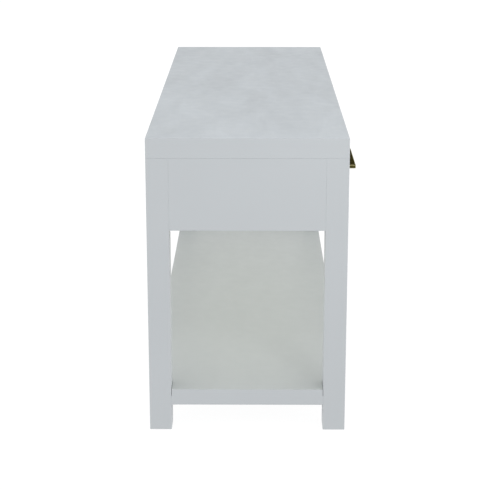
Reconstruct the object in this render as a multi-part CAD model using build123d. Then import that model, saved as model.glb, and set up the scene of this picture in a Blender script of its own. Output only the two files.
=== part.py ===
from build123d import *
import os

# Console table with two drawers over an open low shelf.
# Millimetres. +X runs along the table to the right as seen from the front, -Y is the front, +Z is up.
# The origin is on the floor, in the middle of the whole footprint, drawer pulls included.

# Overall size
LENGTH = 1500.0
DEPTH = 500.0
HEIGHT = 768.0
PULL_REACH = 39.0

# Boards and posts
LEG = 56.0
TOP_THICK = 50.0
SHELF_THICK = 42.0
SHELF_TOP_Z = 112.0
APRON_HEIGHT = 184.0
APRON_THICK = 20.0
PANEL_THICK = 18.0
UNDERPANEL_THICK = 6.0
BATTEN_WIDTH = 60.0
CASE_PANEL_THICK = 12.0
CASE_BOTTOM_LIFT = 4.0
RAIL_THICK = 20.0
RAIL_DEPTH = 60.0
PACKER_HEIGHT = 100.0
SHELF_NOTCH_GAP = 1.0
ARRIS = 1.5
RIM_ROUND = 1.0
SEAM_ROUND = 0.5

# Glides and dowels
GLIDE_RADIUS = 14.0
GLIDE_THICK = 2.0
GLIDE_PIN_RADIUS = 2.5
GLIDE_CHAMFER = 0.5
GLIDE_PIN_LENGTH = 16.0
DOWEL_RADIUS = 4.0
DOWEL_HALF_LENGTH = 20.0
DOWEL_BORE_SPARE = 1.0
DOWEL_SPREAD = 14.0
APRON_DOWEL_SHARES = (0.15, 0.5, 0.85)
SHELF_END_DOWEL_LIFT = 17.0
SHELF_EDGE_DOWEL_LIFT = 6.0
RAIL_DOWEL_SETBACKS = (9.0, 26.0)
FIT_GAP = 0.05

# Drawers
REVEAL = 3.0
FRONT_THICK = 20.0
FRONT_STANDOFF = 1.0
BOX_THICK = 12.0
BOX_LENGTH = 400.0
BOX_HEIGHT = 124.0
BOX_BOTTOM_Z = 556.0
BOX_PANEL_THICK = 5.0
BOX_PANEL_LIFT = 10.0
BOX_GROOVE = 6.0
FRONT_SCREW_STEP = 250.0
FRONT_SCREW_LIFTS = (35.0, 95.0)
FRONT_SCREW_BITE = 14.0

# Drawer pulls
PULL_LENGTH = 200.0
PULL_DEPTH = 20.0
PULL_HEIGHT = 10.0
PULL_CENTRES = 160.0
PULL_CHAMFER = 1.0
POST_RADIUS = 5.0
POST_FOOT_RADIUS = 7.5
POST_FOOT_THICK = 2.0
POST_BORE_DEPTH = 12.0
POST_BORE_SPARE = 2.0
PULL_SCREW_RADIUS = 1.95

# Ball-bearing drawer slides. Across is measured from the cabinet's face towards the drawer.
SLIDE_LENGTH = 400.0
SLIDE_ACROSS = 12.7
SLIDE_HEIGHT = 45.0
SHEET = 1.2
RAIL_LIP_ACROSS = 9.0
MIDDLE_ACROSS = (2.3, 10.0)
MIDDLE_HEIGHT = 34.2
MEMBER_START_ACROSS = 4.6
MEMBER_HEIGHT = 23.4
CAGE_SHEET = 0.5
CAGE_LENGTH = 180.0
CAGE_SETBACK = 102.5
OUTER_CAGE_ACROSS = (1.5, 7.5)
INNER_CAGE_ACROSS = (3.8, 9.7)
BALL_RADIUS = 1.8
BALL_PITCH = 20.0
BALLS_IN_ROW = 9
BALL_OFFSET = 0.5
ACCESS_HOLE_RADIUS = 4.0
SLIDE_SCREW_SETBACKS = (22.0, 200.0, 365.0)
SLIDE_SCREW_DEPTH = 9.0

# Screw heads: head radius, head height, shank radius
FLAT_HEAD = (3.4, SHEET, 1.9)
PAN_HEAD = (3.6, 2.2, 1.8)
WIDE_HEAD = (4.5, 2.4, PULL_SCREW_RADIUS)
RECESS_WIDTH = 0.9
RECESS_DEPTH = 1.1
HEAD_ROUND_SHARE = 0.4

# Angle brackets that hold the top down
BRACKET_LEG = 25.0
BRACKET_WIDTH = 20.0
BRACKET_SHEET = 2.0
BRACKET_SCREW_LENGTH = 13.0
BRACKET_END_STEP = 110.0
BRACKET_BACK_X = (-540.0, -200.0, 200.0, 540.0)
RAIL_SCREW_X = (-520.0, -180.0, 180.0, 520.0)
RAIL_SCREW_SETBACK = 42.0

# Derived planes and centres
END_X = LENGTH / 2
FRONT_Y = PULL_REACH - (DEPTH + PULL_REACH) / 2
BACK_Y = FRONT_Y + DEPTH
MIDDLE_Y = (FRONT_Y + BACK_Y) / 2
LEG_IN_X = END_X - LEG
LEG_IN_FRONT_Y = FRONT_Y + LEG
LEG_IN_BACK_Y = BACK_Y - LEG
APRON_IN_X = END_X - APRON_THICK
APRON_IN_Y = BACK_Y - APRON_THICK
BASE_TOP_Z = HEIGHT - TOP_THICK
APRON_BOTTOM_Z = BASE_TOP_Z - APRON_HEIGHT
SHELF_BOTTOM_Z = SHELF_TOP_Z - SHELF_THICK
CASE_FRONT_Y = FRONT_Y + FRONT_THICK + FRONT_STANDOFF
CASE_BOTTOM_Z = APRON_BOTTOM_Z + CASE_BOTTOM_LIFT
CASE_FLOOR_Z = CASE_BOTTOM_Z + CASE_PANEL_THICK
DIVIDER_HALF = APRON_THICK / 2
FRONT_WIDTH = (2 * LEG_IN_X - 3 * REVEAL) / 2
BAY_X = (-LEG_IN_X, -DIVIDER_HALF)
BOX_X = (BAY_X[0] + SLIDE_ACROSS, BAY_X[1] - SLIDE_ACROSS)
BOX_FRONT_Y = FRONT_Y + FRONT_THICK
BOX_Z = (BOX_BOTTOM_Z, BOX_BOTTOM_Z + BOX_HEIGHT)
SLIDE_Z = sum(BOX_Z) / 2
FRONT_X = (-LEG_IN_X + REVEAL, -LEG_IN_X + REVEAL + FRONT_WIDTH)
FRONT_Z = (APRON_BOTTOM_Z, BASE_TOP_Z - REVEAL)
PULL_X = sum(FRONT_X) / 2
PULL_Z = sum(FRONT_Z) / 2

NODES = {}


def block(x, y, z):
    """A box between pairs of limits."""
    centre = [sum(pair) / 2 for pair in (x, y, z)]
    size = [max(pair) - min(pair) for pair in (x, y, z)]
    return Pos(*centre) * Box(*size)


def edges_at(shape, x=None, y=None, z=None):
    """The edges whose middle lies at each coordinate given."""
    wanted = {"X": x, "Y": y, "Z": z}

    def matches(edge):
        middle = edge.center()
        return all(v is None or abs(getattr(middle, k) - v) < 1e-4 for k, v in wanted.items())

    return [edge for edge in shape.edges() if matches(edge)]


def ease(shape, places, radius=ARRIS):
    """Rounds the edges found at each place, which is a set of coordinates for edges_at."""
    edges = [edge for place in places for edge in edges_at(shape, **place)]
    return fillet(edges, radius)


def rod(at, towards, radius, length):
    """A round bar that starts at a point and runs along a direction."""
    return Plane(origin=at, z_dir=towards) * Pos(0, 0, length / 2) * Cylinder(radius, length)


def screw(at, facing, head, length):
    """A cross-recessed screw. Its head faces the way given: a flat head lies flush with the point,
    any other head stands on it."""
    head_radius, head_height, shank_radius = head
    if head is FLAT_HEAD:
        top = 0.0
        cap = Pos(0, 0, -head_height / 2) * Cone(shank_radius, head_radius, head_height)
    else:
        top = head_height
        cap = Pos(0, 0, head_height / 2) * Cylinder(head_radius, head_height)
        cap = fillet(cap.edges().sort_by(Axis.Z)[-1], head_height * HEAD_ROUND_SHARE)
    shank = Pos(0, 0, -length / 2) * Cylinder(shank_radius, length)
    slot = Pos(0, 0, top - RECESS_DEPTH / 2) * Box(head_radius, RECESS_WIDTH, RECESS_DEPTH)
    return Plane(origin=at, z_dir=facing) * (cap + shank - slot - Rot(0, 0, 90) * slot)


def screw_hole(at, facing, head, length):
    """The clearance that a screw of the same size needs."""
    head_radius, head_height, shank_radius = head
    hole = Pos(0, 0, -length / 2) * Cylinder(shank_radius + FIT_GAP, length + 2 * FIT_GAP)
    if head is FLAT_HEAD:
        cone = Cone(shank_radius + FIT_GAP, head_radius + FIT_GAP, head_height)
        hole += Pos(0, 0, -head_height / 2) * cone
    return Plane(origin=at, z_dir=facing) * hole


def cut(names, tools):
    """Takes the tools away from each named node."""
    for name in names:
        NODES[name] = NODES[name] - tools


def group(shapes):
    """Separate solids that share one node."""
    return Compound(children=[solid for shape in shapes for solid in shape.solids()])


def mirrored(shape):
    """The same piece on the other side of the table's middle."""
    return mirror(shape, about=Plane.YZ)


# ---------------------------------------------------------------- legs

def make_leg(side, y, outer_y):
    """A post with its outer corner rounded most, and tight corners where the aprons join it."""
    z = (GLIDE_THICK, BASE_TOP_Z)
    x = (side * LEG_IN_X, side * END_X)
    leg = block(x, y, z)
    outer_corner = dict(x=side * END_X, y=outer_y)
    upright = [dict(x=leg_x, y=leg_y) for leg_x in x for leg_y in y]
    leg = ease(leg, [outer_corner])
    leg = ease(leg, [corner for corner in upright if corner != outer_corner], SEAM_ROUND)
    ends = [edge for level in z for edge in edges_at(leg, z=level)]
    return fillet(ends, RIM_ROUND)


def make_glide(side, y):
    foot = (side * (END_X - LEG / 2), sum(y) / 2, 0)
    pad = rod(foot, (0, 0, 1), GLIDE_RADIUS, GLIDE_THICK)
    pad = chamfer(pad.edges().sort_by(Axis.Z)[0], GLIDE_CHAMFER)
    return pad + rod(foot, (0, 0, 1), GLIDE_PIN_RADIUS, GLIDE_THICK + GLIDE_PIN_LENGTH)


def glide_bore(side, y):
    foot = (side * (END_X - LEG / 2), sum(y) / 2, GLIDE_THICK)
    return rod(foot, (0, 0, 1), GLIDE_PIN_RADIUS + FIT_GAP, GLIDE_PIN_LENGTH + FIT_GAP)


LEG_ROWS = {"front": (FRONT_Y, LEG_IN_FRONT_Y), "back": (LEG_IN_BACK_Y, BACK_Y)}
OUTER_Y = {"front": FRONT_Y, "back": BACK_Y}
SIDES = {"left": -1, "right": 1}


def build_legs():
    glides = []
    for row, y in LEG_ROWS.items():
        for side_name, side in SIDES.items():
            leg = make_leg(side, y, OUTER_Y[row])
            NODES[f"leg_{row}_{side_name}"] = leg - glide_bore(side, y)
            glides.append(make_glide(side, y))
    NODES["glides"] = group(glides)


# ---------------------------------------------------------------- top

def battens(z):
    """Three cross battens between a panel and its underpanel."""
    middles = (-LEG_IN_X / 2, 0, LEG_IN_X / 2)
    half = BATTEN_WIDTH / 2
    return group([block((x - half, x + half), (LEG_IN_FRONT_Y, LEG_IN_BACK_Y), z) for x in middles])


def build_top():
    panel_z = HEIGHT - PANEL_THICK
    edge_z = (BASE_TOP_Z, panel_z)
    core_y = (LEG_IN_FRONT_Y, LEG_IN_BACK_Y)
    corners = [dict(x=x, y=y) for x in (-END_X, END_X) for y in (FRONT_Y, BACK_Y)]

    panel = block((-END_X, END_X), (FRONT_Y, BACK_Y), (panel_z, HEIGHT))
    rim = [dict(x=x, z=HEIGHT) for x in (-END_X, END_X)] + [dict(y=y, z=HEIGHT) for y in (FRONT_Y, BACK_Y)]
    NODES["top_panel"] = ease(panel, corners + rim)

    for row, y in LEG_ROWS.items():
        strip = block((-END_X, END_X), y, edge_z)
        lower = [dict(y=OUTER_Y[row], z=BASE_TOP_Z)] + [dict(x=x, z=BASE_TOP_Z) for x in (-END_X, END_X)]
        upright = [dict(x=x, y=OUTER_Y[row]) for x in (-END_X, END_X)]
        NODES[f"top_edge_{row}"] = ease(ease(strip, upright), lower, SEAM_ROUND)

    for side_name, side in SIDES.items():
        strip = block((side * LEG_IN_X, side * END_X), core_y, edge_z)
        NODES[f"top_edge_{side_name}"] = ease(strip, [dict(x=side * END_X, z=BASE_TOP_Z)], SEAM_ROUND)

    underpanel_z = (BASE_TOP_Z, BASE_TOP_Z + UNDERPANEL_THICK)
    NODES["top_underpanel"] = block((-LEG_IN_X, LEG_IN_X), core_y, underpanel_z)
    NODES["top_battens"] = battens((underpanel_z[1], panel_z))


# ---------------------------------------------------------------- shelf

def build_shelf():
    panel_z = SHELF_TOP_Z - PANEL_THICK
    edge_z = (SHELF_BOTTOM_Z, panel_z)
    core_y = (LEG_IN_FRONT_Y, LEG_IN_BACK_Y)

    notch_x = LEG_IN_X - SHELF_NOTCH_GAP
    notch_y = (LEG_IN_FRONT_Y + SHELF_NOTCH_GAP, LEG_IN_BACK_Y - SHELF_NOTCH_GAP)
    panel = block((-notch_x, notch_x), (FRONT_Y, BACK_Y), (panel_z, SHELF_TOP_Z))
    panel += block((-END_X, END_X), notch_y, (panel_z, SHELF_TOP_Z))
    rim = [dict(x=x, z=SHELF_TOP_Z) for x in (-END_X, END_X)]
    rim += [dict(y=y, z=SHELF_TOP_Z) for y in (FRONT_Y, BACK_Y)]
    NODES["shelf_panel"] = ease(panel, rim)

    for row, y in LEG_ROWS.items():
        strip = block((-LEG_IN_X, LEG_IN_X), y, edge_z)
        NODES[f"shelf_edge_{row}"] = ease(strip, [dict(y=OUTER_Y[row], z=SHELF_BOTTOM_Z)])

    for side_name, side in SIDES.items():
        strip = block((side * LEG_IN_X, side * END_X), core_y, edge_z)
        NODES[f"shelf_end_{side_name}"] = ease(strip, [dict(x=side * END_X, z=SHELF_BOTTOM_Z)])

    underpanel_z = (SHELF_BOTTOM_Z, SHELF_BOTTOM_Z + UNDERPANEL_THICK)
    NODES["shelf_underpanel"] = block((-LEG_IN_X, LEG_IN_X), core_y, underpanel_z)
    NODES["shelf_battens"] = battens((underpanel_z[1], panel_z))


# ---------------------------------------------------------------- drawer case

def build_case():
    apron_z = (APRON_BOTTOM_Z, BASE_TOP_Z)
    core_y = (LEG_IN_FRONT_Y, LEG_IN_BACK_Y)

    for side_name, side in SIDES.items():
        apron = block((side * APRON_IN_X, side * END_X), core_y, apron_z)
        seams = [dict(x=side * END_X, y=y) for y in core_y] + [dict(x=side * END_X, z=APRON_BOTTOM_Z)]
        apron = ease(apron, [dict(x=side * END_X, z=BASE_TOP_Z)], RIM_ROUND)
        NODES[f"apron_{side_name}"] = ease(apron, seams, SEAM_ROUND)

    apron = block((-LEG_IN_X, LEG_IN_X), (APRON_IN_Y, BACK_Y), apron_z)
    seams = [dict(x=x, y=BACK_Y) for x in (-LEG_IN_X, LEG_IN_X)] + [dict(y=BACK_Y, z=APRON_BOTTOM_Z)]
    apron = ease(apron, [dict(y=BACK_Y, z=BASE_TOP_Z)], RIM_ROUND)
    NODES["apron_back"] = ease(apron, seams, SEAM_ROUND)

    floor_z = (CASE_BOTTOM_Z, CASE_FLOOR_Z)
    floor = block((-LEG_IN_X, LEG_IN_X), (CASE_FRONT_Y, APRON_IN_Y), floor_z)
    NODES["case_bottom"] = floor + block((-APRON_IN_X, APRON_IN_X), core_y, floor_z)

    rail = block((-LEG_IN_X, LEG_IN_X), (CASE_FRONT_Y, CASE_FRONT_Y + RAIL_DEPTH),
                 (BASE_TOP_Z - RAIL_THICK, BASE_TOP_Z))
    NODES["front_rail"] = rail
    divider = block((-DIVIDER_HALF, DIVIDER_HALF), (CASE_FRONT_Y, APRON_IN_Y), (CASE_FLOOR_Z, BASE_TOP_Z))
    NODES["drawer_divider"] = divider - rail

    packer_z = (SLIDE_Z - PACKER_HEIGHT / 2, SLIDE_Z + PACKER_HEIGHT / 2)
    NODES["slide_packers"] = group(
        block((side * LEG_IN_X, side * APRON_IN_X), core_y, packer_z) for side in SIDES.values())


# ---------------------------------------------------------------- dowels

def dowel_places():
    """The middle of each dowel, which lies in a joint face, and the direction it runs in."""
    along_x, along_y = (1, 0, 0), (0, 1, 0)
    apron_levels = [APRON_BOTTOM_Z + APRON_HEIGHT * share for share in APRON_DOWEL_SHARES]
    spread = (-DOWEL_SPREAD, DOWEL_SPREAD)
    end_level = SHELF_BOTTOM_Z + SHELF_END_DOWEL_LIFT
    edge_level = SHELF_BOTTOM_Z + SHELF_EDGE_DOWEL_LIFT
    rail_level = BASE_TOP_Z - RAIL_THICK / 2
    places = []
    for side in SIDES.values():
        apron_x = side * (END_X - APRON_THICK / 2)
        leg_x = side * (END_X - LEG / 2)
        for y in (LEG_IN_FRONT_Y, LEG_IN_BACK_Y):
            places += [((apron_x, y, z), along_y) for z in apron_levels]
            places += [((leg_x + step, y, end_level), along_y) for step in spread]
        for y in LEG_ROWS.values():
            places += [((side * LEG_IN_X, sum(y) / 2 + step, edge_level), along_x) for step in spread]
        places += [((side * LEG_IN_X, BACK_Y - APRON_THICK / 2, z), along_x) for z in apron_levels]
        places += [((side * LEG_IN_X, CASE_FRONT_Y + setback, rail_level), along_x)
                   for setback in RAIL_DOWEL_SETBACKS]
    return places


def build_dowels():
    dowels, bores = [], []
    for middle, towards in dowel_places():
        start = Vector(*middle) - Vector(*towards) * DOWEL_HALF_LENGTH
        dowels.append(rod(start, towards, DOWEL_RADIUS, 2 * DOWEL_HALF_LENGTH))
        reach = DOWEL_HALF_LENGTH + DOWEL_BORE_SPARE
        start = Vector(*middle) - Vector(*towards) * reach
        bores.append(rod(start, towards, DOWEL_RADIUS + FIT_GAP, 2 * reach))
    NODES["dowels"] = group(dowels)
    joined = [name for name in NODES if name.startswith(("leg_", "apron_", "shelf_e"))]
    cut(joined + ["front_rail"], bores)


# ---------------------------------------------------------------- brackets under the top

def bracket_places():
    """The corner where each bracket meets the apron and the top, and the way it faces into the case."""
    ends = [((side * APRON_IN_X, MIDDLE_Y + step, BASE_TOP_Z), -side) for side in SIDES.values()
            for step in (-BRACKET_END_STEP, BRACKET_END_STEP)]
    backs = [((x, APRON_IN_Y, BASE_TOP_Z), 0) for x in BRACKET_BACK_X]
    return ends + backs


def build_brackets():
    brackets, screws, holes = [], [], []
    for corner, inward in bracket_places():
        across = Vector(inward, 0, 0) if inward else Vector(0, -1, 0)
        place = Plane(origin=corner, x_dir=across, z_dir=(0, 0, 1))
        y = (-BRACKET_WIDTH / 2, BRACKET_WIDTH / 2)
        upright = block((0, BRACKET_SHEET), y, (-BRACKET_LEG, 0))
        flange = block((0, BRACKET_LEG), y, (-BRACKET_SHEET, 0))
        bracket = place * (upright + flange)
        middle = (BRACKET_LEG + BRACKET_SHEET) / 2
        up_point = Vector(*corner) + across * middle - Vector(0, 0, BRACKET_SHEET)
        side_point = Vector(*corner) + across * BRACKET_SHEET - Vector(0, 0, middle)
        for point, facing in ((up_point, (0, 0, -1)), (side_point, across)):
            screws.append(screw(point, facing, PAN_HEAD, BRACKET_SCREW_LENGTH))
            holes.append(screw_hole(point, facing, PAN_HEAD, BRACKET_SCREW_LENGTH))
        brackets.append(bracket - holes[-2:])
    NODES["top_brackets"] = group(brackets)
    length = RAIL_THICK + BRACKET_SCREW_LENGTH
    for x in RAIL_SCREW_X:
        point = (x, CASE_FRONT_Y + RAIL_SCREW_SETBACK, BASE_TOP_Z - RAIL_THICK)
        screws.append(screw(point, (0, 0, -1), PAN_HEAD, length))
        holes.append(screw_hole(point, (0, 0, -1), PAN_HEAD, length))
    NODES["bracket_screws"] = group(screws)
    edges = [f"top_edge_{row}" for row in ("front", "back", "left", "right")]
    cut(edges + ["apron_left", "apron_right", "apron_back", "front_rail", "top_underpanel"], holes)


# ---------------------------------------------------------------- drawer slides

def slide_frame(face_x, towards):
    """A frame on a cabinet face: its X runs across the slide to the drawer, its Y along the slide's
    length towards the back."""
    return Plane(origin=(face_x, CASE_FRONT_Y, SLIDE_Z), x_dir=(towards, 0, 0), z_dir=(0, 0, towards))


def channel(across, height, web_first, length, start=0.0, sheet=SHEET):
    """A sheet-steel channel. Its web is on the cabinet's side if web_first, or on the drawer's."""
    half = height / 2
    outside = block(across, (start, start + length), (-half, half))
    near, far = across
    hollow = (near + sheet, far) if web_first else (near, far - sheet)
    return outside - block(hollow, (start, start + length), (sheet - half, half - sheet))


def ball_cage(across, ball_level, ball_across):
    """A U-shaped retainer with a row of captive balls along each flange."""
    height = 2 * ball_level + CAGE_SHEET
    cage = channel(across, height, True, CAGE_LENGTH, CAGE_SETBACK, CAGE_SHEET)
    first = CAGE_SETBACK + (CAGE_LENGTH - (BALLS_IN_ROW - 1) * BALL_PITCH) / 2
    balls = [Pos(ball_across, first + BALL_PITCH * i, level) * Sphere(BALL_RADIUS)
             for i in range(BALLS_IN_ROW) for level in (-ball_level, ball_level)]
    return cage + balls


def slide_parts(face_x, towards):
    """The rail, middle member, drawer member and two cages of one slide, with its screws and holes."""
    place = slide_frame(face_x, towards)
    rail = channel((0, RAIL_LIP_ACROSS), SLIDE_HEIGHT, True, SLIDE_LENGTH)
    middle = channel(MIDDLE_ACROSS, MIDDLE_HEIGHT, True, SLIDE_LENGTH)
    member = channel((MEMBER_START_ACROSS, SLIDE_ACROSS), MEMBER_HEIGHT, False, SLIDE_LENGTH)
    outer_level = (SLIDE_HEIGHT / 2 - SHEET + MIDDLE_HEIGHT / 2) / 2
    inner_level = (MIDDLE_HEIGHT / 2 - SHEET + MEMBER_HEIGHT / 2) / 2
    outer_cage = ball_cage(OUTER_CAGE_ACROSS, outer_level, sum(OUTER_CAGE_ACROSS) / 2 + BALL_OFFSET)
    inner_cage = ball_cage(INNER_CAGE_ACROSS, inner_level, sum(INNER_CAGE_ACROSS) / 2 + BALL_OFFSET)
    for setback in SLIDE_SCREW_SETBACKS:
        access = rod((0, setback, 0), (1, 0, 0), ACCESS_HOLE_RADIUS, SLIDE_ACROSS)
        middle -= access
    screws, holes = {}, {}
    for name, start in (("rail", SHEET), ("member", SLIDE_ACROSS - SHEET)):
        points = [place.from_local_coords(Vector(start, setback, 0)) for setback in SLIDE_SCREW_SETBACKS]
        facing = (-towards, 0, 0) if name == "member" else (towards, 0, 0)
        length = SHEET + SLIDE_SCREW_DEPTH
        screws[name] = [screw(point, facing, FLAT_HEAD, length) for point in points]
        holes[name] = [screw_hole(point, facing, FLAT_HEAD, length) for point in points]
    return {
        "rail": place * rail - holes["rail"],
        "middle": place * middle,
        "member": place * member - holes["member"],
        "outer_cage": place * outer_cage,
        "inner_cage": place * inner_cage,
        "screws": screws,
        "holes": holes,
    }


# ---------------------------------------------------------------- drawers, made for the left bay

def make_pull():
    """The bar, its two posts, and the screws with the holes they need."""
    bar_y = (FRONT_Y - PULL_REACH, FRONT_Y - PULL_REACH + PULL_DEPTH)
    bar = block((PULL_X - PULL_LENGTH / 2, PULL_X + PULL_LENGTH / 2), bar_y,
                (PULL_Z - PULL_HEIGHT / 2, PULL_Z + PULL_HEIGHT / 2))
    bar = chamfer(bar.edges(), PULL_CHAMFER)
    posts, screws, holes = [], [], []
    inside_y = BOX_FRONT_Y + BOX_THICK
    screw_length = inside_y - FRONT_Y + POST_BORE_DEPTH - POST_BORE_SPARE
    for x in (PULL_X - PULL_CENTRES / 2, PULL_X + PULL_CENTRES / 2):
        post = rod((x, FRONT_Y, PULL_Z), (0, -1, 0), POST_RADIUS, FRONT_Y - bar_y[1])
        foot = rod((x, FRONT_Y, PULL_Z), (0, -1, 0), POST_FOOT_RADIUS, POST_FOOT_THICK)
        bore = rod((x, FRONT_Y, PULL_Z), (0, -1, 0), PULL_SCREW_RADIUS + FIT_GAP, POST_BORE_DEPTH)
        posts.append(post + foot - bore)
        screws.append(screw((x, inside_y, PULL_Z), (0, 1, 0), WIDE_HEAD, screw_length))
        holes.append(screw_hole((x, inside_y, PULL_Z), (0, 1, 0), WIDE_HEAD, inside_y - FRONT_Y))
    return bar, posts, screws, holes


def make_drawer():
    """Every piece that moves with one drawer, except the slide members."""
    back_y = BOX_FRONT_Y + BOX_LENGTH
    inside_x = (BOX_X[0] + BOX_THICK, BOX_X[1] - BOX_THICK)
    inside_y = (BOX_FRONT_Y + BOX_THICK, back_y - BOX_THICK)
    panel_z = (BOX_BOTTOM_Z + BOX_PANEL_LIFT, BOX_BOTTOM_Z + BOX_PANEL_LIFT + BOX_PANEL_THICK)
    bottom = block((inside_x[0] - BOX_GROOVE, inside_x[1] + BOX_GROOVE),
                   (inside_y[0] - BOX_GROOVE, inside_y[1] + BOX_GROOVE), panel_z)

    face = block(FRONT_X, (FRONT_Y, BOX_FRONT_Y), FRONT_Z)
    face = ease(face, [dict(x=x, y=FRONT_Y) for x in FRONT_X] + [dict(y=FRONT_Y, z=z) for z in FRONT_Z])
    bar, posts, pull_screws, pull_holes = make_pull()

    front_points = [(PULL_X + step, inside_y[0], BOX_BOTTOM_Z + lift)
                    for step in (-FRONT_SCREW_STEP, FRONT_SCREW_STEP) for lift in FRONT_SCREW_LIFTS]
    front_length = BOX_THICK + FRONT_SCREW_BITE
    front_screws = [screw(point, (0, 1, 0), PAN_HEAD, front_length) for point in front_points]
    front_holes = [screw_hole(point, (0, 1, 0), PAN_HEAD, front_length) for point in front_points]

    pieces = {
        "drawer_front": face - pull_holes - front_holes,
        "box_front": block(inside_x, (BOX_FRONT_Y, inside_y[0]), BOX_Z) - bottom - pull_holes - front_holes,
        "box_back": block(inside_x, (inside_y[1], back_y), BOX_Z) - bottom,
        "box_bottom": bottom,
        "pull_bar": bar,
        "pull_posts": group(posts),
        "pull_screws": group(pull_screws),
    }
    for name, x in (("side_outer", (BOX_X[0], inside_x[0])), ("side_inner", (inside_x[1], BOX_X[1]))):
        pieces[name] = block(x, (BOX_FRONT_Y, back_y), BOX_Z) - bottom
    return pieces, front_screws


def build_drawers():
    """Makes the left drawer and its slides, and mirrors them for the right."""
    pieces, screws = make_drawer()
    slides = [slide_parts(BAY_X[0], 1), slide_parts(BAY_X[1], -1)]
    for slide, side_board in zip(slides, ("side_outer", "side_inner")):
        pieces[side_board] = pieces[side_board] - slide["holes"]["member"]
        screws += slide["screws"]["member"]
    pieces["drawer_screws"] = group(screws)
    for node, part in (("drawer_members", "member"), ("slide_middles", "middle"),
                       ("outer_cages", "outer_cage"), ("inner_cages", "inner_cage")):
        pieces[node] = group(slide[part] for slide in slides)
    for name, piece in pieces.items():
        NODES[f"left_{name}"] = piece
        NODES[f"right_{name}"] = mirrored(piece)

    rails = [slide["rail"] for slide in slides]
    rail_screws = [shape for slide in slides for shape in slide["screws"]["rail"]]
    rail_holes = [shape for slide in slides for shape in slide["holes"]["rail"]]
    NODES["cabinet_rails"] = group(rails + [mirrored(rail) for rail in rails])
    NODES["rail_screws"] = group(rail_screws + [mirrored(shape) for shape in rail_screws])
    holes = rail_holes + [mirrored(shape) for shape in rail_holes]
    legs = ["leg_front_left", "leg_front_right"]
    cut(legs + ["drawer_divider"], holes)
    NODES["slide_packers"] = group([NODES["slide_packers"] - holes])


build_legs()
build_top()
build_shelf()
build_case()
build_dowels()
build_brackets()
build_drawers()

os.makedirs("parts", exist_ok=True)
for node, shape in NODES.items():
    export_step(shape, f"parts/{node}.step")
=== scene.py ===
"""Console table: materials, small fittings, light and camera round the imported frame.

Metres, in the frame's own axes: +X along the table, the drawers on -Y, +Z up.
"""
import math

import bmesh
import bpy
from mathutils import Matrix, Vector


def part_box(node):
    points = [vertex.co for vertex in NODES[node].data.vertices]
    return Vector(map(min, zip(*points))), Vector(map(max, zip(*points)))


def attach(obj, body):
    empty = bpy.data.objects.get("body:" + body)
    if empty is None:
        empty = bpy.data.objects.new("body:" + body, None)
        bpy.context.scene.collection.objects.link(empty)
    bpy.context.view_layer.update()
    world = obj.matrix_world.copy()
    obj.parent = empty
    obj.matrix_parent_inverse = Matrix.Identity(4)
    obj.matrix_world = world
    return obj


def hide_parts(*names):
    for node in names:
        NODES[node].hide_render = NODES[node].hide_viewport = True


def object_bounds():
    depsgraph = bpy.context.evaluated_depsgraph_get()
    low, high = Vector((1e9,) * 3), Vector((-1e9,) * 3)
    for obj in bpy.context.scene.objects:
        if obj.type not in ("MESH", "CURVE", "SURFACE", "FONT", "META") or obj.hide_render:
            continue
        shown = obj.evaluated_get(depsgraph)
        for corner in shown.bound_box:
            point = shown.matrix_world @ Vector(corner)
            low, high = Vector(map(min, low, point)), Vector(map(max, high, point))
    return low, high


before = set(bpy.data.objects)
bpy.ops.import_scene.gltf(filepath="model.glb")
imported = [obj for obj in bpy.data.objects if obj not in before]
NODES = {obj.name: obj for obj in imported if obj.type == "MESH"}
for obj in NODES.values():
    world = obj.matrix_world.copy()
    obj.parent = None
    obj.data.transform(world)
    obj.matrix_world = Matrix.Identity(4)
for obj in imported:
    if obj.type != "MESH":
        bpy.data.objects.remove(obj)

SIDES = ("left", "right")
X, Y, Z = 0, 1, 2
cad_low, cad_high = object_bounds()


# ---------------------------------------------------------------- material graphs

# The colour sockets of a mix node, whose other sockets are for numbers and vectors.
MIX_A = 6
MIX_B = 7
MIX_RESULT = 2


def rgb(red, green, blue):
    return (red, green, blue, 1.0)


class Graph:
    """Short ways to add and join nodes in one node tree."""

    def __init__(self, tree):
        self.tree = tree

    def node(self, kind, inputs=None, **settings):
        made = self.tree.nodes.new(kind)
        for key, value in settings.items():
            setattr(made, key, value)
        for key, value in (inputs or {}).items():
            self.put(value, made.inputs[key])
        return made

    def put(self, value, socket):
        """Links an output to a socket, or sets the socket to a plain value."""
        if isinstance(value, bpy.types.NodeSocket):
            self.tree.links.new(value, socket)
        elif socket.type == "VECTOR":
            socket.default_value = value[:3]
        else:
            socket.default_value = value

    def math(self, operation, a, b=0.0):
        return self.node("ShaderNodeMath", {0: a, 1: b}, operation=operation).outputs["Value"]

    def span(self, value, low, high, from_low=0.3, from_high=0.7):
        """Maps a value from one range to another, held at the ends. Most noise lies in 0.3 to 0.7."""
        made = self.node("ShaderNodeMapRange", {
            "Value": value, "From Min": from_low, "From Max": from_high, "To Min": low, "To Max": high})
        return made.outputs["Result"]

    def split(self, vector, axis):
        return self.node("ShaderNodeSeparateXYZ", {"Vector": vector}).outputs[axis]


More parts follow.
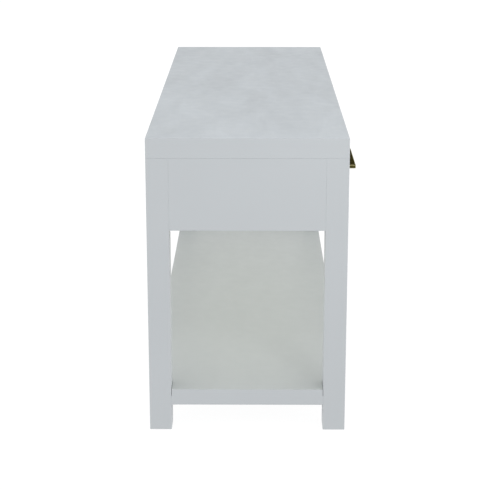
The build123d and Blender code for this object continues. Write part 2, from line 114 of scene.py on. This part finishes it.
class Shade(Graph):
    """One procedural material. Its textures run in metres, in the frame's own axes."""

    def __init__(self, name, roughness=0.5, metallic=0.0, specular=0.5):
        self.material = bpy.data.materials.new(name)
        self.material.use_nodes = True
        super().__init__(self.material.node_tree)
        self.surface = self.tree.nodes["Principled BSDF"]
        self.surface.inputs["Roughness"].default_value = roughness
        self.surface.inputs["Metallic"].default_value = metallic
        self.surface.inputs["Specular IOR Level"].default_value = specular
        self.place = self.node("ShaderNodeTexCoord").outputs["Object"]

    def stretched(self, scale):
        """The place, scaled along each axis, for grain that runs one way."""
        return self.node("ShaderNodeMapping", {"Vector": self.place, "Scale": scale}).outputs["Vector"]

    def noise(self, scale, detail=3.0, rough=0.5, place=None, distortion=0.0):
        made = self.node("ShaderNodeTexNoise", {
            "Vector": place or self.place, "Scale": scale, "Detail": detail,
            "Roughness": rough, "Distortion": distortion})
        return made.outputs["Fac"]

    def mix(self, factor, a, b):
        made = self.node("ShaderNodeMix", data_type="RGBA")
        self.put(factor, made.inputs["Factor"])
        self.put(a, made.inputs[MIX_A])
        self.put(b, made.inputs[MIX_B])
        return made.outputs[MIX_RESULT]

    def brighten(self, colour, value):
        """The colour times a number that varies over the surface."""
        made = self.node("ShaderNodeVectorMath", operation="SCALE")
        self.put(colour, made.inputs[0])
        self.put(value, made.inputs["Scale"])
        return made.outputs["Vector"]

    def facing_up(self):
        """1 on faces that look straight up, 0 on the rest."""
        normal = self.node("ShaderNodeNewGeometry").outputs["Normal"]
        return self.span(self.split(normal, Z), 0.0, 1.0, 0.9, 0.99)

    def bump(self, height, distance, strength):
        made = self.node("ShaderNodeBump", {"Height": height, "Distance": distance, "Strength": strength})
        self.put(made.outputs["Normal"], self.surface.inputs["Normal"])

    def finish(self, colour=None, roughness=None):
        if colour is not None:
            self.put(colour, self.surface.inputs["Base Color"])
        if roughness is not None:
            self.put(roughness, self.surface.inputs["Roughness"])
        return self.material


# ---------------------------------------------------------------- materials

# The lacquer, and the tones painted on the upward faces of the top and the shelf as light: cooler on the
# top for the light from above, lighter and warmer on the shelf for the light bounced off the case's
# underside.
# Upward faces are also painted lighter by a share, as if lit from above, and their clouds go up to the
# mottle above and below that share.
PAINT = rgb(0.472, 0.497, 0.516)
TOP_PAINTED_LIGHT_TONE = rgb(0.467, 0.500, 0.526)
SHELF_PAINTED_LIGHT_TONE = rgb(0.481, 0.505, 0.514)
PAINTED_TOP_LIGHT = 0.05
CLOUD_MOTTLE = 0.06
SHELF_MOTTLE = 0.012

# The dark and light of each wood's figure, the plies' thickness, and how strongly their edges show.
BIRCH_DARK, BIRCH_LIGHT = rgb(0.52, 0.37, 0.22), rgb(0.70, 0.54, 0.35)
BOTTOM_DARK, BOTTOM_LIGHT = rgb(0.56, 0.41, 0.25), rgb(0.73, 0.57, 0.38)
CORE_DARK, CORE_LIGHT = rgb(0.36, 0.26, 0.17), rgb(0.46, 0.34, 0.22)
BEECH_DARK, BEECH_LIGHT = rgb(0.50, 0.34, 0.20), rgb(0.64, 0.46, 0.29)
PLY_THICKNESS = 0.0013
PLY_CONTRAST = 0.45

# Sealer, brass, steel and plastic. GRAZING is the share of its shine that brass keeps at a low angle.
SEALER_CREAM = rgb(0.88, 0.89, 0.67)
PATINA_DARK, PATINA_LIGHT = rgb(0.050, 0.045, 0.013), rgb(0.100, 0.088, 0.028)
# The round edges' brass: worn bright, and its brightness also stands in for a painted highlight along the
# pull's edges.
RUBBED_HIGHLIGHT_DARK, RUBBED_HIGHLIGHT_LIGHT = rgb(0.14, 0.122, 0.056), rgb(0.54, 0.49, 0.265)
PATINA_GRAZING = 0.34
RUBBED_GRAZING = 0.8
SLIDE_ZINC = rgb(0.62, 0.64, 0.66)
CAGE_STEEL = rgb(0.50, 0.50, 0.49)
SCREW_ZINC = rgb(0.56, 0.55, 0.52)
GLIDE_GREY = rgb(0.32, 0.32, 0.31)
PAD_WHITE = rgb(0.74, 0.73, 0.69)


def lacquer(name, painted_light_tone=PAINT, mottle=CLOUD_MOTTLE):
    """Satin lacquer over board, nearly even except on its upward faces, which get soft clouds and painted
    light: a lighter share and a tone of their own.
    """
    s = Shade(name, roughness=0.42, specular=0.25)
    # The upward faces, which take the clouds and the painted light.
    flat = s.facing_up()
    clouds = s.noise(1.0, detail=5.0, rough=0.6, place=s.stretched((3.2, 11.0, 11.0)), distortion=0.5)
    # The clouds spread around a painted lift that makes upward faces lighter, as if lit from above.
    clouds_and_painted_light = s.span(clouds, PAINTED_TOP_LIGHT - mottle, PAINTED_TOP_LIGHT + mottle, 0.32, 0.68)
    drift = s.noise(2.4, detail=2.0)
    drift_light = s.span(drift, 0.985, 1.015)
    level = s.math("ADD", s.math("MULTIPLY", clouds_and_painted_light, flat), drift_light)
    # Upward faces take the painted light's tone in place of the plain lacquer.
    colour = s.brighten(s.mix(flat, PAINT, painted_light_tone), level)
    sheen = s.noise(30.0, detail=3.0)
    peel = s.noise(420.0, detail=2.0)
    waves = s.noise(60.0, detail=2.0)
    height = s.math("ADD", s.math("MULTIPLY", peel, 0.25), waves)
    s.bump(height, 0.00006, 0.5)
    return s.finish(colour, s.span(sheen, 0.36, 0.50))


def sealer(name, tone):
    """A thin pale coat of sealer, rolled on where nobody looks."""
    s = Shade(name, roughness=0.6, specular=0.3)
    roller = s.noise(260.0, detail=3.0)
    patches = s.noise(7.0, detail=4.0, rough=0.6)
    s.bump(roller, 0.0001, 0.5)
    level = s.math("MULTIPLY", s.span(patches, 0.95, 1.04), s.span(roller, 0.98, 1.02))
    colour = s.brighten(tone, level)
    return s.finish(colour, s.span(roller, 0.55, 0.68))


def wood(name, dark, light, grain_axis, ply_axis=None, ply_start=0.0):
    """Wood with its grain along one axis. Plywood's cut edges show its plies across ply_axis."""
    s = Shade(name, roughness=0.5, specular=0.35)
    figure_scale = [46.0, 46.0, 46.0]
    figure_scale[grain_axis] = 2.2
    figure = s.noise(1.0, detail=6.0, rough=0.6, place=s.stretched(figure_scale), distortion=0.8)
    fibre_scale = [900.0, 900.0, 900.0]
    fibre_scale[grain_axis] = 14.0
    fibres = s.noise(1.0, detail=3.0, place=s.stretched(fibre_scale))
    colour = s.mix(s.span(figure, 0.0, 1.0), dark, light)
    colour = s.brighten(colour, s.span(fibres, 0.93, 1.05))
    if ply_axis is not None:
        depth = s.math("SUBTRACT", s.split(s.place, ply_axis), ply_start)
        layer = s.math("DIVIDE", depth, PLY_THICKNESS)
        odd = s.math("GREATER_THAN", s.math("FRACT", s.math("MULTIPLY", layer, 0.5)), 0.5)
        normal = s.node("ShaderNodeNewGeometry").outputs["Normal"]
        cut = s.math("LESS_THAN", s.math("ABSOLUTE", s.split(normal, ply_axis)), 0.5)
        stripe = s.math("MULTIPLY", s.math("MULTIPLY", odd, cut), PLY_CONTRAST)
        end_grain = rgb(dark[0] * 0.6, dark[1] * 0.55, dark[2] * 0.5)
        colour = s.mix(stripe, colour, end_grain)
    s.bump(fibres, 0.00005, 0.6)
    return s.finish(colour, s.span(figure, 0.44, 0.56))


def brass(name, dark, light, rough_low, rough_high, grazing):
    """Antique brass, blotched with patina, and duller at low angles."""
    s = Shade(name, metallic=1.0)
    s.surface.inputs["Specular Tint"].default_value = rgb(grazing, grazing * 0.97, grazing * 0.85)
    patina = s.noise(70.0, detail=5.0, rough=0.65, distortion=0.4)
    specks = s.noise(900.0, detail=2.0)
    brush = s.noise(1.0, detail=3.0, place=s.stretched((30.0, 1600.0, 1600.0)))
    colour = s.mix(s.span(patina, 0.0, 1.0), dark, light)
    colour = s.brighten(colour, s.span(specks, 0.86, 1.12))
    s.bump(brush, 0.00002, 0.5)
    return s.finish(colour, s.span(patina, rough_high, rough_low))


def zinc(name, tone, rough_low=0.28, rough_high=0.42, spangle=260.0):
    """Zinc-plated sheet steel, rolled along Y."""
    s = Shade(name, metallic=1.0)
    crystals = s.noise(spangle, detail=2.0)
    rolled = s.noise(1.0, detail=3.0, place=s.stretched((1200.0, 12.0, 1200.0)))
    level = s.math("MULTIPLY", s.span(crystals, 0.88, 1.08), s.span(rolled, 0.94, 1.04))
    colour = s.brighten(tone, level)
    s.bump(rolled, 0.00001, 0.6)
    return s.finish(colour, s.span(crystals, rough_low, rough_high))


def plastic(name, tone, roughness=0.45):
    """Moulded plastic with a fine spark-eroded grain."""
    s = Shade(name)
    grain = s.noise(1800.0, detail=2.0)
    flow = s.noise(40.0, detail=2.0)
    s.bump(grain, 0.00002, 0.5)
    colour = s.brighten(tone, s.span(flow, 0.95, 1.04))
    return s.finish(colour, s.span(grain, roughness - 0.06, roughness + 0.06))


def paint_nodes(material, *names):
    for name in names:
        mesh = NODES[name].data
        mesh.materials.clear()
        mesh.materials.append(material)


def finish_lacquer():
    """The painted outside. The underside of the drawer case only has sealer."""
    paint = lacquer("lacquer")
    # The top and the shelf get copies of the lacquer with painted light on their upward faces.
    top_painted_light = lacquer("lacquer_top_painted_light", TOP_PAINTED_LIGHT_TONE)
    shelf_painted_light = lacquer("lacquer_shelf_painted_light", SHELF_PAINTED_LIGHT_TONE, SHELF_MOTTLE)
    paint_nodes(paint, "top_edge_front", "top_edge_back", "top_edge_left", "top_edge_right")
    paint_nodes(paint, "leg_front_left", "leg_front_right", "leg_back_left", "leg_back_right")
    paint_nodes(paint, "apron_left", "apron_right", "apron_back")
    paint_nodes(paint, "shelf_edge_front", "shelf_edge_back", "shelf_end_left", "shelf_end_right")
    paint_nodes(paint, "shelf_underpanel", "left_drawer_front", "right_drawer_front")
    paint_nodes(top_painted_light, "top_panel")
    paint_nodes(shelf_painted_light, "shelf_panel")
    paint_nodes(sealer("board_sealer", SEALER_CREAM), "case_bottom")


def birch_ply(material_name, node, grain_axis, ply_axis):
    """Birch plywood with its plies counted from the node's own lower face."""
    ply_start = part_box(node)[0][ply_axis]
    return wood(material_name, BIRCH_DARK, BIRCH_LIGHT, grain_axis, ply_axis, ply_start)


def finish_case_boards():
    """The boards, battens and dowels that stay put."""
    case_ply = birch_ply("case_ply", "front_rail", X, Y)
    divider_ply = birch_ply("divider_ply", "drawer_divider", Y, X)
    core = wood("core_board", CORE_DARK, CORE_LIGHT, X)
    beech = wood("beech_dowel", BEECH_DARK, BEECH_LIGHT, X)
    paint_nodes(case_ply, "front_rail", "slide_packers", "top_underpanel")
    paint_nodes(divider_ply, "drawer_divider")
    paint_nodes(core, "top_battens", "shelf_battens")
    paint_nodes(beech, "dowels")


def finish_drawer_box(side):
    """One drawer's plywood box."""
    for part in ("side_outer", "side_inner"):
        node = f"{side}_{part}"
        paint_nodes(birch_ply(f"{node}_ply", node, Y, X), node)
    for part in ("box_front", "box_back"):
        node = f"{side}_{part}"
        paint_nodes(birch_ply(f"{node}_ply", node, X, Y), node)
    bottom = wood(f"{side}_bottom_ply", BOTTOM_DARK, BOTTOM_LIGHT, X)
    paint_nodes(bottom, f"{side}_box_bottom")


def finish_steel():
    """The slides, brackets and screws."""
    slide_zinc = zinc("slide_zinc", SLIDE_ZINC)
    cage_steel = zinc("cage_steel", CAGE_STEEL, rough_low=0.22, rough_high=0.34)
    screw_zinc = zinc("screw_zinc", SCREW_ZINC, rough_low=0.24, rough_high=0.36, spangle=900.0)
    paint_nodes(slide_zinc, "cabinet_rails", "top_brackets")
    paint_nodes(screw_zinc, "rail_screws", "bracket_screws")
    for side in SIDES:
        paint_nodes(slide_zinc, f"{side}_drawer_members", f"{side}_slide_middles")
        paint_nodes(cage_steel, f"{side}_outer_cages", f"{side}_inner_cages")
        paint_nodes(screw_zinc, f"{side}_pull_screws", f"{side}_drawer_screws")


# ---------------------------------------------------------------- pieces made here

def add_piece(name, mesh, body, materials):
    for material in materials:
        mesh.materials.append(material)
    piece = bpy.data.objects.new(name, mesh)
    bpy.context.scene.collection.objects.link(piece)
    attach(piece, body)
    return piece


def rounded_box(name, low, high, radius, segments):
    """A box with round edges. Its flats have material 0 and its rounds material 1."""
    shape = bmesh.new()
    bmesh.ops.create_cube(shape, size=1.0)
    centre = (Vector(low) + Vector(high)) / 2
    size = Vector(high) - Vector(low)
    bmesh.ops.scale(shape, vec=size, verts=shape.verts)
    bmesh.ops.translate(shape, vec=centre, verts=shape.verts)
    rounds = bmesh.ops.bevel(shape, geom=shape.edges[:], offset=radius, segments=segments,
                             profile=0.5, affect="EDGES")
    for face in rounds["faces"]:
        face.material_index = 1
    for face in shape.faces:
        face.smooth = True
    mesh = bpy.data.meshes.new(name)
    shape.to_mesh(mesh)
    shape.free()
    return mesh


def sharpen_shading(piece):
    """Keeps big flats flat beside small rounds."""
    piece.modifiers.new("weighted", "WEIGHTED_NORMAL").keep_sharp = True


PULL_ROUND = 0.0016
PULL_ROUND_SEGMENTS = 4


def make_pull_bar(side, patina, rubbed_highlight):
    """The pull's bar. Its round edges are worn bright, and that brighter brass also stands in as a
    painted highlight along them.
    """
    low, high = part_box(f"{side}_pull_bar")
    mesh = rounded_box(f"{side}_pull_grip", low, high, PULL_ROUND, PULL_ROUND_SEGMENTS)
    piece = add_piece(f"{side}_pull_grip", mesh, f"{side}_drawer", [patina, rubbed_highlight])
    sharpen_shading(piece)
    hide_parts(f"{side}_pull_bar")


PAD_RADIUS = 0.005
PAD_INSET = 0.040
PAD_CLEARANCE = 0.0001
PAD_SEGMENTS = 24
# The pad's profile from its foot to its crown: the share of its radius and of its thickness.
PAD_PROFILE = ((1.0, 0.0), (1.0, 0.45), (0.96, 0.72), (0.86, 0.90), (0.66, 0.98), (0.34, 1.0))


def add_pad(shape, foot, thickness):
    """One soft pad that stands out along +Y from its foot."""
    rings = []
    for radius_share, height_share in PAD_PROFILE:
        ring = []
        for step in range(PAD_SEGMENTS):
            angle = math.tau * step / PAD_SEGMENTS
            radius = PAD_RADIUS * radius_share
            across = radius * math.cos(angle)
            up = radius * math.sin(angle)
            ring.append(shape.verts.new(foot + Vector((across, thickness * height_share, up))))
        rings.append(ring)
    shape.faces.new(rings[0])
    shape.faces.new(rings[-1])
    for lower, upper in zip(rings, rings[1:]):
        for step in range(PAD_SEGMENTS):
            beside = (step + 1) % PAD_SEGMENTS
            shape.faces.new((lower[step], lower[beside], upper[beside], upper[step]))


def make_front_pads(side, rubber):
    """Two pads on the back of a drawer front, just clear of the front rail when it is shut."""
    front_low, front_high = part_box(f"{side}_drawer_front")
    rail_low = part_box("front_rail")[0]
    thickness = rail_low[Y] - front_high[Y] - PAD_CLEARANCE
    height = (rail_low[Z] + front_high[Z]) / 2
    shape = bmesh.new()
    for x in (front_low[X] + PAD_INSET, front_high[X] - PAD_INSET):
        add_pad(shape, Vector((x, front_high[Y], height)), thickness)
    bmesh.ops.recalc_face_normals(shape, faces=shape.faces)
    for face in shape.faces:
        face.smooth = True
    mesh = bpy.data.meshes.new(f"{side}_front_pads")
    shape.to_mesh(mesh)
    shape.free()
    piece = add_piece(f"{side}_front_pads", mesh, f"{side}_drawer", [rubber])
    sharpen_shading(piece)


# ---------------------------------------------------------------- stage, light and camera

WHITE = rgb(1.0, 1.0, 1.0)
FLOOR_GREY = rgb(0.12, 0.12, 0.12)
FLOOR_GLOW = 0.93
FLOOR_HALF = 40.0


def make_floor():
    """A plain floor that glows white. Diffuse rays miss it, so the room also lights from below."""
    mesh = bpy.data.meshes.new("floor")
    corners = [(x, y, 0.0) for x, y in ((-1, -1), (1, -1), (1, 1), (-1, 1))]
    mesh.from_pydata([(x * FLOOR_HALF, y * FLOOR_HALF, z) for x, y, z in corners], [], [(0, 1, 2, 3)])
    floor = bpy.data.objects.new("floor", mesh)
    bpy.context.scene.collection.objects.link(floor)
    s = Shade("floor_paper", roughness=0.9, specular=0.05)
    s.surface.inputs["Base Color"].default_value = FLOOR_GREY
    s.surface.inputs["Emission Color"].default_value = WHITE
    s.surface.inputs["Emission Strength"].default_value = FLOOR_GLOW
    mesh.materials.append(s.finish())
    floor.visible_diffuse = False


# The room's light by the sine of its height, the share of it left towards +X, and how much more comes
# from the front and from the back. The backdrop's white band is full up to the sine BACKDROP_TOP,
# above and below the horizon, and gone at BACKDROP_END.
ROOM_LIGHT = ((-0.30, 0.515), (-0.05, 0.90), (0.14, 1.04), (0.30, 1.18), (0.70, 0.96), (1.00, 0.23))
FAR_SHARE = 0.66
FRONT_EXTRA = 1.25
BACK_EXTRA = 1.00
BACKDROP_LIGHT = 1.02
BACKDROP_TOP = 0.14
BACKDROP_END = 0.24


def make_world():
    """Soft white light from all round, on a white backdrop."""
    world = bpy.data.worlds.new("studio")
    world.use_nodes = True
    g = Graph(world.node_tree)
    direction = g.node("ShaderNodeTexCoord").outputs["Generated"]
    height = g.split(direction, Z)
    strongest = max(light for sine, light in ROOM_LIGHT)
    stops = g.node("ShaderNodeValToRGB", {"Fac": g.span(height, 0.0, 1.0, -1.0, 1.0)})
    ramp = stops.color_ramp
    while len(ramp.elements) < len(ROOM_LIGHT):
        ramp.elements.new(0.5)
    for element, (sine, light) in zip(ramp.elements, ROOM_LIGHT):
        element.position = (sine + 1.0) / 2.0
        element.color = rgb(*[light / strongest] * 3)
    far = g.span(g.split(direction, X), strongest, strongest * FAR_SHARE, 0.0, 1.0)
    across = g.split(direction, Y)
    extra = g.span(across, FRONT_EXTRA, BACK_EXTRA, -1.0, 1.0)
    sides = g.math("ADD", 1.0, g.math("MULTIPLY", extra, g.math("MULTIPLY", across, across)))
    room = g.math("MULTIPLY", g.math("MULTIPLY", stops.outputs["Color"], far), sides)
    backdrop = g.span(g.math("ABSOLUTE", height), BACKDROP_LIGHT, 0.0, BACKDROP_TOP, BACKDROP_END)
    background = g.tree.nodes["Background"]
    g.put(WHITE, background.inputs["Color"])
    g.put(g.math("MAXIMUM", room, backdrop), background.inputs["Strength"])
    bpy.context.scene.world = world


SOFTBOX_SIZE = 0.22
LIT_SPOT = (-0.75, 0.02, 0.45)
KEY_PLACE = (-1.5, -0.58, 1.3)
KEY_POWER = 1.9
FILL_PLACE = (-1.5, 0.62, 1.3)
FILL_POWER = 0.4


def softbox(name, place, power):
    """A small square light that faces the table's near end."""
    lamp = bpy.data.lights.new(name, "AREA")
    lamp.shape = "RECTANGLE"
    lamp.size = SOFTBOX_SIZE
    lamp.size_y = SOFTBOX_SIZE
    lamp.energy = power
    piece = bpy.data.objects.new(name, lamp)
    piece.location = place
    piece.rotation_euler = (Vector(LIT_SPOT) - Vector(place)).to_track_quat("-Z", "Y").to_euler()
    bpy.context.scene.collection.objects.link(piece)


def make_lights():
    """Two softboxes above the near end, the stronger on the drawers' side."""
    softbox("near_key", KEY_PLACE, KEY_POWER)
    softbox("near_fill", FILL_PLACE, FILL_POWER)


CAMERA_BACK = 3.192
CAMERA_SIDE = 0.006
CAMERA_HEIGHT = 1.469
CAMERA_YAW = math.radians(0.346)
CAMERA_PITCH = math.radians(14.42)
CAMERA_LENS = 98.68
CAMERA_SHIFT = -0.12
SENSOR_WIDTH = 36.0
SIGHT_LIMIT = 200.0


def make_camera():
    """Looks along the table from beyond its left end."""
    camera = bpy.data.cameras.new("camera")
    camera.sensor_width = SENSOR_WIDTH
    camera.lens = CAMERA_LENS
    camera.shift_y = CAMERA_SHIFT
    camera.clip_end = SIGHT_LIMIT
    eye = bpy.data.objects.new("camera", camera)
    eye.location = (cad_low.x - CAMERA_BACK, CAMERA_SIDE, CAMERA_HEIGHT)
    eye.rotation_euler = (math.pi / 2 - CAMERA_PITCH, 0.0, CAMERA_YAW - math.pi / 2)
    bpy.context.scene.collection.objects.link(eye)
    bpy.context.scene.camera = eye


# ---------------------------------------------------------------- the scene

finish_lacquer()
finish_case_boards()
finish_steel()
paint_nodes(plastic("glide_plastic", GLIDE_GREY), "glides")
patina = brass("brass_patina", PATINA_DARK, PATINA_LIGHT, 0.34, 0.50, PATINA_GRAZING)
# Brass for the pull's round edges: worn bright, and also a painted highlight.
rubbed_highlight = brass("brass_rubbed_highlight", RUBBED_HIGHLIGHT_DARK, RUBBED_HIGHLIGHT_LIGHT, 0.22, 0.38, RUBBED_GRAZING)
pad_rubber = plastic("pad_rubber", PAD_WHITE, 0.35)
for side in SIDES:
    finish_drawer_box(side)
    paint_nodes(patina, f"{side}_pull_posts")
    make_pull_bar(side, patina, rubbed_highlight)
    make_front_pads(side, pad_rubber)
make_floor()
make_world()
make_lights()
make_camera()
bpy.context.scene.view_settings.view_transform = "Standard"

bpy.context.view_layer.update()
